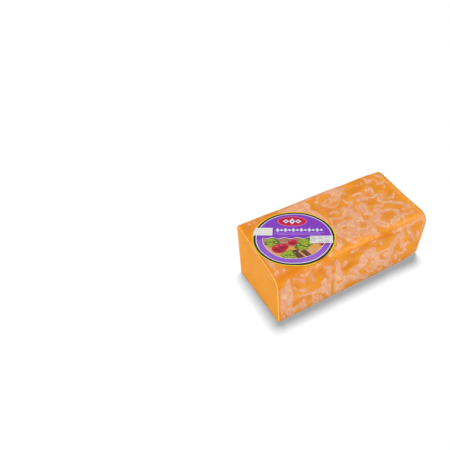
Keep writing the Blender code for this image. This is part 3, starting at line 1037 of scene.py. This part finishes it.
def still_life():
    """A plain picture of berries, leaf sprigs, boards and cut rounds, inside its field."""
    yield "mauve", bar((0.05, -0.16), (0.8, 0.16), -0.05)
    for step in range(6):
        yield "tan", bar((-0.6 + 0.27 * step, -0.11 - 0.03 * step), (0.12, 0.014), -0.2)
    yield "tan", oval((-0.56, -0.4), (0.3, 0.2), -0.5)
    yield "brown", bar((0.2, -0.64), (0.4, 0.24), 0.25)
    yield "wheat", bar((0.48, -0.34), (0.2, 0.1), -0.35)
    for step in range(3):
        yield "tan", bar((0.04 + 0.2 * step, -0.7 + 0.07 * step), (0.02, 0.2), 0.7)
    for centre, reach, turn in (((0.3, -0.47), 0.2, -0.9), ((0.6, -0.46), 0.13, 1.0)):
        yield "wheat", oval(centre, (reach, reach), turn, 16, 0, math.pi)
        yield "tan", oval(centre, (reach * 0.7, reach * 0.7), turn, 16, 0, math.pi)
    for index, (across, up, turn) in enumerate(SPRIGS):
        for step in range(7):
            way = turn + 0.9 * step
            ink = "dark_green" if (step + index) % 3 == 0 else "green"
            yield ink, leaf((across, up), 0.21, 0.07, way)
            grape = (across + 0.1 * math.cos(way), up + 0.08 * math.sin(way))
            yield "lime", oval(grape, (0.03, 0.026), sides=10)
    for across, up, reach in BERRIES:
        yield "crimson", oval((across, up), (reach, reach * 0.92))
        yield "deep_red", oval((across, up - reach * 0.2), (reach * 0.6, reach * 0.4))
        shine = (across - reach * 0.35, up + reach * 0.5)
        yield "rose", oval(shine, (reach * 0.2, reach * 0.12))


def upper_shapes():
    """The two pale fields, the badge and the ornaments, over all else."""
    yield "paper", bar((0.66, -0.07), (0.27, 0.135))
    for row, up in enumerate(PRINT_LINES):
        for column in range(3):
            place = (0.46 + 0.16 * column + 0.02 * (row % 2), up)
            if (row + column) % 4 != 3:
                yield "slate", bar(place, (0.055, 0.011))
    yield "paper", bar((-0.76, 0.23), (0.24, 0.14))
    for ink, half_sizes in BADGE_OVALS:
        yield ink, oval(BADGE, half_sizes, sides=64)
    for step in (-1, 0, 1):
        centre = (BADGE[0] + 0.15 * step, BADGE[1])
        yield "white", lozenge(centre, (0.075, 0.12 - 0.04 * abs(step)))
        yield "blue", oval(centre, (0.028, 0.028), sides=12)
    for step in range(12):
        across = -0.4 + 0.096 * step
        tall = 0.075 if step % 2 == 0 else 0.04
        yield "slate", lozenge((across + 0.008, ORNAMENT_ROW - 0.012), (0.05, tall))
        yield "white", lozenge((across, ORNAMENT_ROW), (0.042, tall))
    for up, reach in UNDERLINES:
        yield "lilac", bar((0.12, up), (reach, 0.008))


def paint_label():
    """The inks, a little uneven, on smooth paper that is flecked and slightly glossy."""
    finish, tree, shader = new_finish("printed_paper")
    shade = between(tree, grain(tree, LABEL_SHADE_SIZE), 0.0, LABEL_SHADE_MOST)
    colour = mixed(tree, shade, read(tree, "ink", "Color"), LABEL_SHADE)
    fleck = times(tree, grain(tree, FLECK_SIZE), FLECK_STRENGTH)
    rough = grain(tree, PAPER_GRAIN_SIZE, 3.0)
    inputs = {
        "Base Color": mixed(tree, fleck, colour, FLECK_PALE),
        "Roughness": between(tree, grain(tree, GLOSS_SIZE), 0.3, 0.45),
        "Specular IOR Level": 0.15,
        "Normal": bumped(tree, 0.25, PAPER_GRAIN_DEPTH, rough),
    }
    feed(tree, shader, inputs)
    return finish


def drape(print_points):
    """Carries points of the print onto the block's top and over its round edge."""
    on_label = turned(print_points, PRINT_TURN) * LABEL_HALF
    x, y = ((turned(on_label, LABEL_TURN) + LABEL_CENTRE) * MM).T
    bend = np.clip((FRONT_TOP_RADIUS - y) / FRONT_TOP_RADIUS, 0, 1)
    y = np.where(bend > 0, FRONT_TOP_RADIUS * (1 - bend * 4 / math.pi), y)
    top, normal, _ = on_block(x, y, np.full(len(x), BLOCK[2]))
    return top + to_frame + normal * LABEL_LIFT


def make_label():
    """Cuts the flat print along every outline, drapes it, and gives it the paper's thickness."""
    # Every shape lies in a lower one, told by its number: the whole oval, or the picture's field
    whole = 0
    shapes = [(*shape, whole) for shape in ground_shapes()]
    window = len(shapes) - 1
    shapes += [(*shape, window) for shape in still_life()]
    shapes += [(*shape, whole) for shape in upper_shapes()]
    chord_way = CHORD_TURN - PRINT_TURN
    chord = np.array((math.cos(chord_way), math.sin(chord_way)))
    clipped = []
    for _, outline, _ in shapes:
        over = np.maximum(outline @ chord - CHORD_REACH, 0)
        outline = outline - over[:, None] * chord
        following = np.roll(outline, -1, 0)
        turns_left = (outline[:, 0] * following[:, 1] - outline[:, 1] * following[:, 0]).sum() > 0
        clipped.append(outline if turns_left else outline[::-1])
    steps = np.arange(-1, 1, DRAPE_STEP)
    free = np.stack(np.meshgrid(steps, steps), -1).reshape(-1, 2)
    free = free[np.hypot(*free.T) < DRAPE_REACH]
    free = free[free @ chord < CHORD_REACH - DRAPE_OFF_CHORD]
    starts = np.cumsum([0] + [len(outline) for outline in clipped])
    loops = [list(range(start, end)) for start, end in zip(starts, starts[1:])]
    spots = [Vector(point) for point in np.concatenate(clipped + [free])]
    inside_only = 1
    cut = geometry.delaunay_2d_cdt(spots, [], loops, inside_only, MERGE_REACH, True)
    points, _, faces, _, _, owners = cut
    inks = []
    kept = []
    for face, owner in zip(faces, owners):
        if whole in owner:
            kept.append(face)
            seen = max(number for number in owner if shapes[number][2] in owner)
            inks.append(INKS[shapes[seen][0]])
    mesh = bpy.data.meshes.new("oval_label")
    mesh.from_pydata([(*point, 0) for point in points], [], kept)
    layer = mesh.attributes.new("ink", "FLOAT_COLOR", "CORNER")
    layer.data.foreach_set("color", np.repeat(np.array(inks, np.float32), 3, 0).ravel())
    flat = np.array([tuple(point) for point in points])
    mesh.vertices.foreach_set("co", drape(flat).ravel())
    mesh.materials.append(paint_label())
    mesh.update()
    mesh.validate()
    label = add_object("oval_label", mesh)
    wall = label.modifiers.new("paper", "SOLIDIFY")
    wall.thickness = PAPER_THICKNESS
    wall.offset = -1
    return label


oval_label = make_label()
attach(oval_label, "root")
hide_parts("label")


# The floor, the light and the camera: a plain white table under a dim even sky. A lamp above
# throws the soft shadow, and one in front lights the cut and the front side without a shadow.
# The camera looks down over the cut end and the front side, as in the photograph.

FLOOR_SIZE = 6.0
FLOOR_DROP = 0.0003
FLOOR_WHITE = tint(250, 250, 250)
FLOOR_WHITER = tint(253, 253, 253)
FLOOR_CLOUD_SIZE = 0.4
SKY_STRENGTH = 0.28
# Name, the way to the lamp, its width in degrees, its strength and whether it casts a shadow.
# The one above stands a little behind, so the shadow falls forward.
LAMPS = (
    ("lamp_above", (0.1, 0.17, 1.1), 15, 2.12, True),
    ("lamp_in_front", (-1.0, -1.17, 0.3), 24, 1.84, False),
)
# The camera's place in the block's own corner frame
CAMERA_PLACE = (-0.1918, -0.3202, 0.5545)
CAMERA_AZIMUTH = math.radians(-22.96)
CAMERA_TILT = math.radians(90 - 45.51)
CAMERA_ROLL = math.radians(-5.85)
PICTURE_PIXELS = 450
FOCAL_PIXELS = 542.5
SENSOR = 36.0


def set_floor():
    mesh = bpy.data.meshes.new("floor")
    shape = bmesh.new()
    bmesh.ops.create_grid(shape, x_segments=1, y_segments=1, size=FLOOR_SIZE / 2)
    shape.to_mesh(mesh)
    shape.free()
    mesh.transform(Matrix.Translation((0, 0, -FLOOR_DROP)))
    finish, tree, shader = new_finish("white_table")
    white = mixed(tree, grain(tree, FLOOR_CLOUD_SIZE), FLOOR_WHITE, FLOOR_WHITER)
    feed(tree, shader, {"Base Color": white, "Roughness": 0.9, "Specular IOR Level": 0.1})
    mesh.materials.append(finish)
    add_object("floor", mesh)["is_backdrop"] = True


def set_light():
    """A dim sky lights the block, but a white one is what shows behind it."""
    world = bpy.data.worlds.new("sky")
    world.use_nodes = True
    tree = world.node_tree
    seen = wire(tree, "ShaderNodeLightPath")["Is Camera Ray"]
    strength = calc(tree, "MAXIMUM", seen, SKY_STRENGTH)
    feed(tree, tree.nodes["Background"], {"Color": (1, 1, 1, 1), "Strength": strength})
    bpy.context.scene.world = world
    for name, way, width, strength, shadow in LAMPS:
        data = bpy.data.lights.new(name, "SUN")
        data.angle = math.radians(width)
        data.energy = strength
        data.use_shadow = shadow
        lamp = add_object(name, data)
        lamp.rotation_euler = Vector(way).to_track_quat("Z", "Y").to_euler()


def set_camera():
    data = bpy.data.cameras.new("camera")
    data.sensor_width = SENSOR
    data.lens = SENSOR * FOCAL_PIXELS / PICTURE_PIXELS
    camera = add_object("camera", data)
    aim = Matrix.Rotation(CAMERA_AZIMUTH, 4, "Z") @ Matrix.Rotation(CAMERA_TILT, 4, "X")
    aim = aim @ Matrix.Rotation(CAMERA_ROLL, 4, "Z")
    camera.matrix_world = Matrix.Translation(Vector(CAMERA_PLACE) + Vector(to_frame)) @ aim
    bpy.context.scene.camera = camera


# The block throws no orange light on the floor, and its film throws no shadow on the cheese
for piece in (cheese, film, air_bubbles, oval_label):
    piece.visible_diffuse = False
film.visible_shadow = False
air_bubbles.visible_shadow = False
set_floor()
set_light()
set_camera()
bpy.context.scene.view_settings.view_transform = "Standard"

boxes = {"cad": cad_box, "visual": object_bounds()}
{name: [list(corner) for corner in box] for name, box in boxes.items()}
